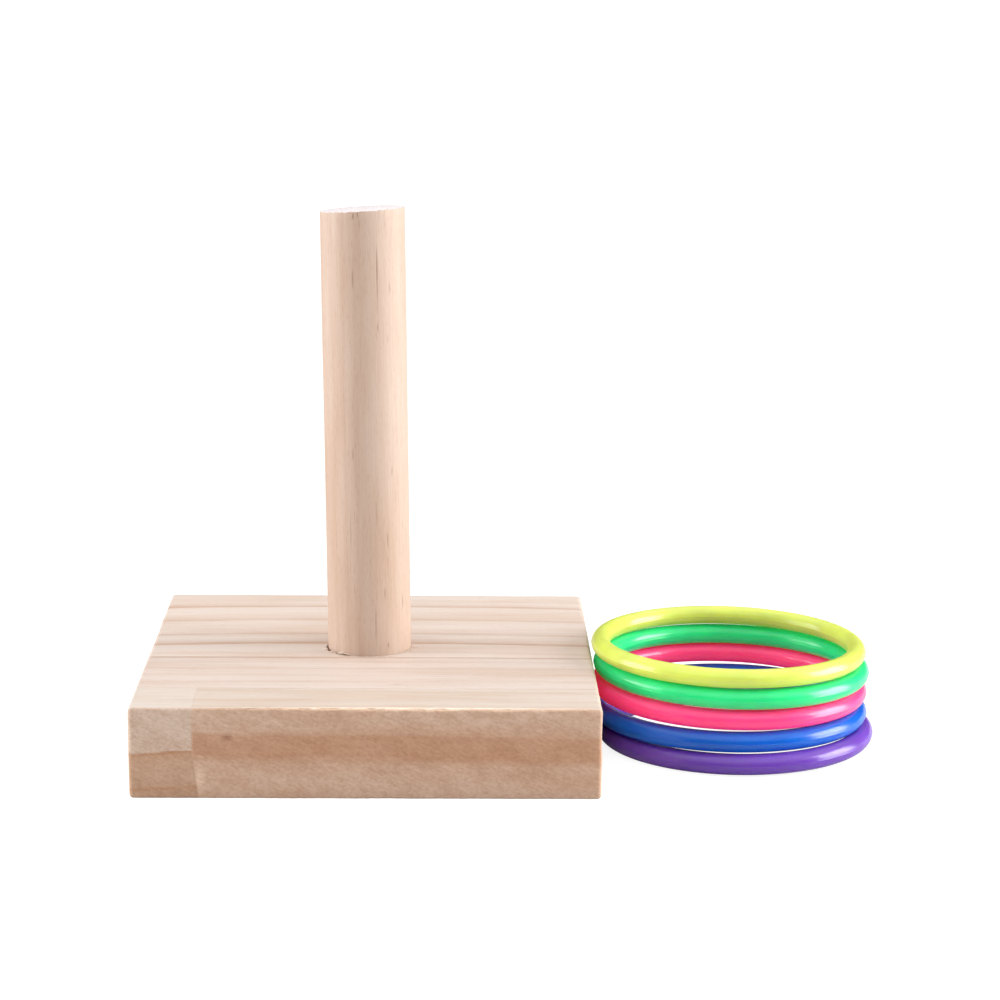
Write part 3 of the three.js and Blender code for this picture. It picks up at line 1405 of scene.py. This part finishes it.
@dataclass
class Studio:
    """A white table, soft light from above and from both sides, and the camera.

    Attributes:
        softboxes: the lights beside the set.
        table_size: length of the table's side, in metres.
        table_colour: sRGB hex colour that the table sends to the set.
        seen_colour: sRGB hex colour that the camera sees the table have.
        table_glow: light that the camera sees it give besides.
        overhead: strength of the bright ceiling.
        horizon: strength of the light from the sides.
        ceiling_tilt: how far the ceiling leans to the front, in degrees.
        backdrop: strength of what the camera sees past the table.
        camera_place: in metres.
        camera_pitch: how far the camera looks down, in degrees.
        camera_yaw: how far it looks to the right, in degrees.
        camera_roll: how far it is rolled, in degrees.
        focal_length: for a sensor 36 mm wide.
    """

    softboxes: tuple[Softbox, ...] = (
        Softbox("softbox_right", 87, 12, 0.95, 0.6, 0.6, 13.2),
        Softbox("softbox_left", -86, 12, 0.95, 0.6, 0.6, 8.5),
    )
    table_size: float = 60.0
    table_colour: str = "d6d6d6"
    seen_colour: str = "959595"
    table_glow: float = 0.86
    overhead: float = 1.45
    horizon: float = 0.10
    ceiling_tilt: float = 8.0
    backdrop: float = 1.05
    camera_place: tuple[float, float, float] = (0.01578, -0.6147, 0.1835)
    camera_pitch: float = 11.88
    camera_yaw: float = 1.223
    camera_roll: float = 0.546
    focal_length: float = 100.53

    def table(self) -> None:
        """Lay the table: it looks white, and it sends back only as much light as pale grey card."""
        shader = Shader(bpy.data.materials.new("white_table"))
        card = shader.add("BsdfDiffuse", {"Color": linear(self.table_colour)})
        seen = shader.add("BsdfDiffuse", {"Color": linear(self.seen_colour)})
        glow = shader.add("Emission", {"Strength": self.table_glow})
        bright = shader.add("AddShader", {0: seen, 1: glow})
        by_camera = shader.add("LightPath").outputs["Is Camera Ray"]
        material = shader.finish(shader.add("MixShader", {0: by_camera, 1: card, 2: bright}))
        half = self.table_size / 2
        points = [(-half, -half, 0), (half, -half, 0), (half, half, 0), (-half, half, 0)]
        make_piece("table", points, [[0, 1, 2, 3]], material)

    def sky(self) -> None:
        """Light the room: a bright ceiling, a dim horizon, and white where the camera sees past them."""
        world = bpy.data.worlds.new("studio")
        bpy.context.scene.world = world
        shader = Shader(world)
        tilt = math.radians(self.ceiling_tilt)
        up = (0, -math.sin(tilt), math.cos(tilt))
        way = shader.add("TexCoord").outputs["Generated"]
        height = shader.add("VectorMath", {0: way, 1: up}, operation="DOT_PRODUCT").outputs["Value"]
        level = shader.add("MapRange", {
            "Value": height, "From Min": 0.3, "From Max": 0.75, "To Min": self.horizon,
            "To Max": self.overhead}, **EASED)
        by_camera = shader.add("LightPath").outputs["Is Camera Ray"]
        strength = shader.add("Mix", {0: by_camera, 2: level, 3: self.backdrop}, data_type="FLOAT")
        light = shader.add("Background", {"Color": (1, 1, 1, 1), "Strength": strength})
        shader.add("OutputWorld", {"Surface": light})

    def camera(self) -> None:
        """Set up the camera."""
        data = bpy.data.cameras.new("camera")
        data.lens = self.focal_length
        data.sensor_width = 36.0
        data.clip_start, data.clip_end = 0.01, 200.0
        camera = add_object("camera", data)
        turn = Matrix.Rotation(math.radians(-self.camera_yaw), 4, "Z")
        turn @= Matrix.Rotation(math.radians(90 - self.camera_pitch), 4, "X")
        turn @= Matrix.Rotation(math.radians(self.camera_roll), 4, "Z")
        camera.matrix_world = Matrix.Translation(self.camera_place) @ turn
        bpy.context.scene.camera = camera

    def build(self) -> None:
        """Build the whole studio."""
        self.table()
        self.sky()
        low, high = CAD_BOX
        target = Vector(((low.x + high.x) / 2, (low.y + high.y) / 2, 0.04))
        for softbox in self.softboxes:
            softbox.build(target)
        self.camera()
        view = bpy.context.scene.view_settings
        view.view_transform = "Standard"
        view.look = "None"


def main() -> None:
    """Build the set and its studio."""
    logging.basicConfig(level=logging.INFO, format="%(name)s %(message)s")
    Studio().build()
    peg = Peg()
    for piece in (*Block(peg.matrix()).build(), *peg.build(), *RingPile().build()):
        log.info("%s: %d faces", piece.name, len(piece.data.polygons))


if __name__ == "__main__":
    main()
